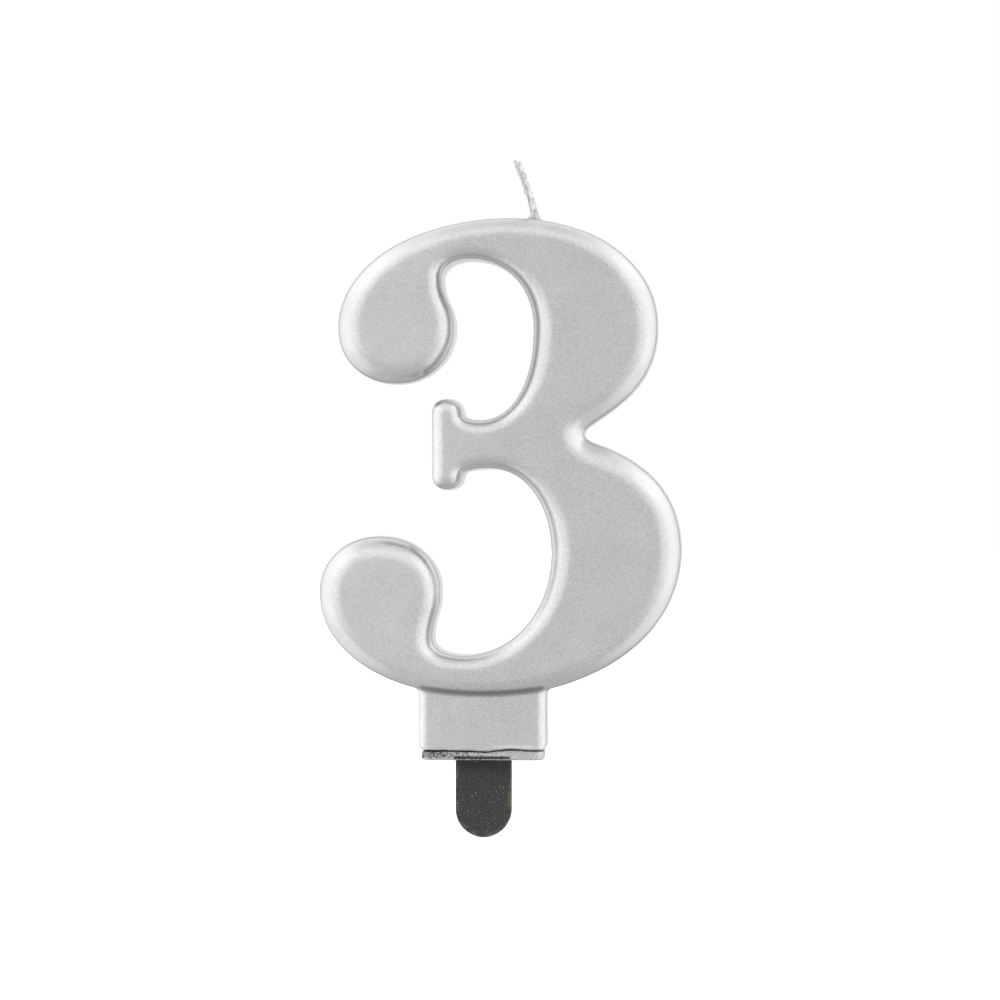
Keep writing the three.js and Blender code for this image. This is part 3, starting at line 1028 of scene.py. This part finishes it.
def strand(name, number):
    """One of the three strands, wound about the route and curled over at the tip."""
    curve = bpy.data.curves.new(name, "CURVE")
    curve.dimensions = "3D"
    curve.bevel_depth = STRAND * MM
    curve.bevel_resolution = 3
    curve.use_fill_caps = True
    spline = curve.splines.new("POLY")
    spline.points.add(len(route) - 1)
    for index, place in enumerate(route):
        ahead = route[min(index + 1, len(route) - 1)] - route[max(index - 1, 0)]
        ahead = Vector(ahead).normalized()
        sideways = Vector((0, 1, 0))
        outwards = sideways.cross(ahead).normalized()
        turn = 2 * math.pi * (index * ROUTE_STEP / PITCH + number / 3)
        from_tip = (len(route) - 1 - index) * ROUTE_STEP
        curling = max(0.0, 1 - from_tip / CURL_LENGTH) ** 2
        offset = (outwards * math.cos(turn) + sideways * math.sin(turn)) * WIND * (1 - 0.6 * curling)
        offset = offset - outwards * CURL * curling - ahead * 0.18 * curling * number
        spline.points[index].co = (*((Vector(place) + offset) * MM), 1)
        loose = 0.10 * drift(index * ROUTE_STEP, number * 5.0, 0.0, 0.7)
        spline.points[index].radius = 1.0 + loose - 0.30 * max(0.0, 1 - from_tip / TAPER_LENGTH)
    made = bpy.data.objects.new(name, curve)
    bpy.context.collection.objects.link(made)
    only(made)
    bpy.ops.object.convert(target="MESH")
    return bpy.context.object


strands = [strand(f"strand_{number}", number) for number in range(3)]

# %% One cord
WICK_VOXEL = 0.08

only(strands[0])
for each in strands[1:]:
    each.select_set(True)
bpy.ops.object.join()
wick = bpy.context.object
wick.name = "wick_cord"
wick.data.name = "wick_cord"
apply(wick, "REMESH", mode="VOXEL", voxel_size=WICK_VOXEL * MM, adaptivity=0)
apply(wick, "SMOOTH", factor=0.5, iterations=3)
only(wick)
bpy.ops.object.shade_smooth()
show_size(wick)

# %% [markdown]
# ## Silvered cotton
#
# The spray lies thinly on the cotton, so the cord is a pale silver with the grey of the fibres showing
# through in streaks along it. Noise stretched along the cord's length makes the streaks.

# %% Silvered cotton
COTTON_GREY = (0.40, 0.40, 0.405, 1)
COTTON_SILVER = (0.78, 0.78, 0.78, 1)

cotton, mix, shader = finish_named("silvered_cotton")
here = mix.node("ShaderNodeTexCoord", output=3)
lean = {"Rotation": (0, -WICK_LEAN, 0), "Scale": (1 / MM, 1 / MM, 0.28 / MM)}
streaked = mix.node("ShaderNodeMapping", None, {"Vector": here, **lean})
streaks = mix.clouds(streaked, 2.6, 4.0, 0.6)
covered = mix.ease(streaks, 0.38, 0.60)
feed(mix, shader, "Base Color", mix.blend(covered, COTTON_GREY, COTTON_SILVER))
feed(mix, shader, "Roughness", 0.60 - (streaks - 0.5) * 0.4)
feed(mix, shader, "Normal", mix.bump(0.5, 0.05 * MM, streaks))
shader.inputs["Metallic"].default_value = 0.25
wick.data.materials.clear()
wick.data.materials.append(cotton)
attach(wick, "root")
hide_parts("wick")

# %% [markdown]
# ## Finishing
#
# The low and high corners of each piece made here are printed, in millimetres.

for piece in (wax, spike, wick):
    places = corners(piece) / MM
    print(piece.name, "low and high, mm:", places.min(0), places.max(0))
